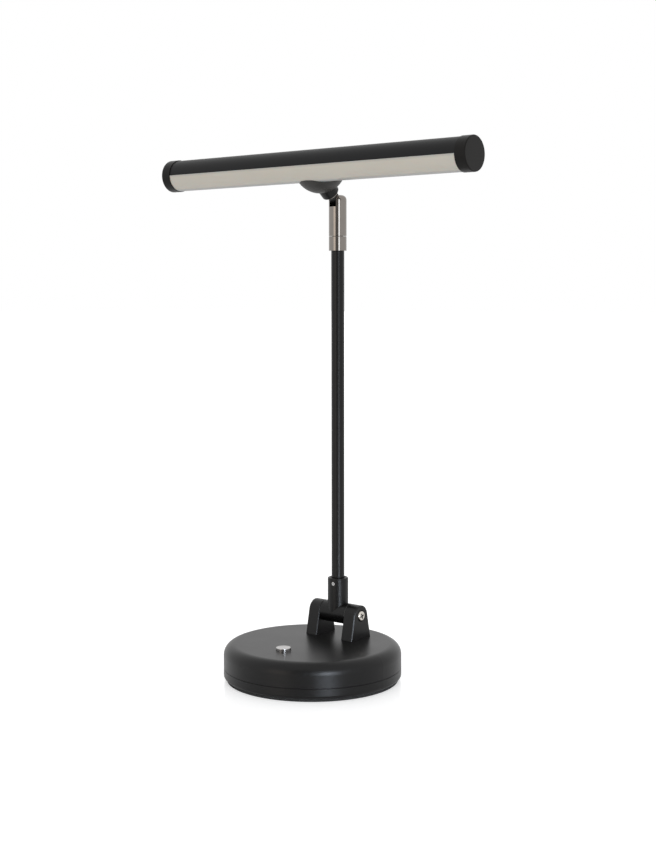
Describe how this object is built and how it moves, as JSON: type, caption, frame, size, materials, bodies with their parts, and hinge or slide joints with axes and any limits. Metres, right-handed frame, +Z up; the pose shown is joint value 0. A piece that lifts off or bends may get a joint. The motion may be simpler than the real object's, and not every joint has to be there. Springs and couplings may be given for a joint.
{
  "type": "piano lamp",
  "caption": "Piano lamp with a weighted round base, a tilting pole, a swivelling fork and a long tilting light bar with an opal window.",
  "frame": {"origin": "centre of the foot pad's underside, on the table", "axes": "+Z up along the pole, -Y to the front where the button is, +X to the right along the light bar"},
  "size_m": [0.343, 0.16, 0.472],
  "materials": {
    "black_paint": "satin black powder coat",
    "black_aluminium": "satin black powder coat on aluminium",
    "nickel": "polished black nickel plate",
    "button_metal": "turned and polished",
    "screw_steel": "nickel-plated steel",
    "opal": "opal acrylic, unlit",
    "foam": "black foam",
    "ballast": "raw plate",
    "circuit_board": "solder mask",
    "white_board": "white solder mask on aluminium",
    "led": "phosphor",
    "black_plastic": "moulded",
    "white_plastic": "moulded",
    "brass": "turned",
    "lead_sheath": "matt sheath"
  },
  "bodies": {
    "base": {"base_cover": "black_aluminium", "base_pan": "black_aluminium", "foot_pad": "foam", "pan_screws": "screw_steel", "ballast_plate": "ballast", "board_pillars": "brass", "driver_board": "circuit_board", "board_screws": "screw_steel", "touch_switch": "black_plastic", "dc_jack": "black_plastic", "jack_nut": "brass", "jack_lead": "lead_sheath", "left_ear": "black_aluminium", "right_ear": "black_aluminium", "ear_screws": "screw_steel", "hinge_screw": "screw_steel", "hinge_nut": "screw_steel", "hinge_washers": "white_plastic", "base_lead": "lead_sheath"},
    "button": {"dimmer_button": "button_metal", "switch_plunger": "white_plastic"},
    "arm": {"hinge_socket": "black_paint", "pole": "black_paint", "pole_set_screw": "screw_steel", "arm_lead": "lead_sheath", "swivel_sleeve": "nickel", "swivel_stem": "brass", "retaining_ring": "screw_steel"},
    "fork": {"swivel_fork": "nickel", "pivot_pins": "nickel", "fork_lead": "lead_sheath"},
    "head": {"knuckle_tang": "black_paint", "boss_washer": "nickel", "dome_boss": "black_aluminium", "mount_dome": "black_aluminium", "dome_nut": "screw_steel", "dome_screws": "screw_steel", "tube_housing": "black_aluminium", "diffuser": "opal", "led_board": "white_board", "led_chips": "led", "left_end_cap": "black_aluminium", "right_end_cap": "black_aluminium", "head_lead": "lead_sheath"}
  },
  "joints": [
    {"name": "button_press", "type": "slide", "parent": "base", "child": "button", "axis": [0, 0, -1], "range_m": [0, 0.0008], "stiffness_N_per_m": 1500},
    {"name": "arm_tilt", "type": "hinge", "parent": "base", "child": "arm", "pos_m": [0, 0.0365, 0.0543], "axis": [1, 0, 0], "range_deg": [-90, 90]},
    {"name": "head_swivel", "type": "hinge", "parent": "arm", "child": "fork", "pos_m": [0, 0.0365, 0.3974], "axis": [0, 0, 1], "range_deg": [-165, 165]},
    {"name": "head_tilt", "type": "hinge", "parent": "fork", "child": "head", "pos_m": [0, 0.0365, 0.4271], "axis": [1, 0, 0], "range_deg": [-135, 35]}
  ]
}
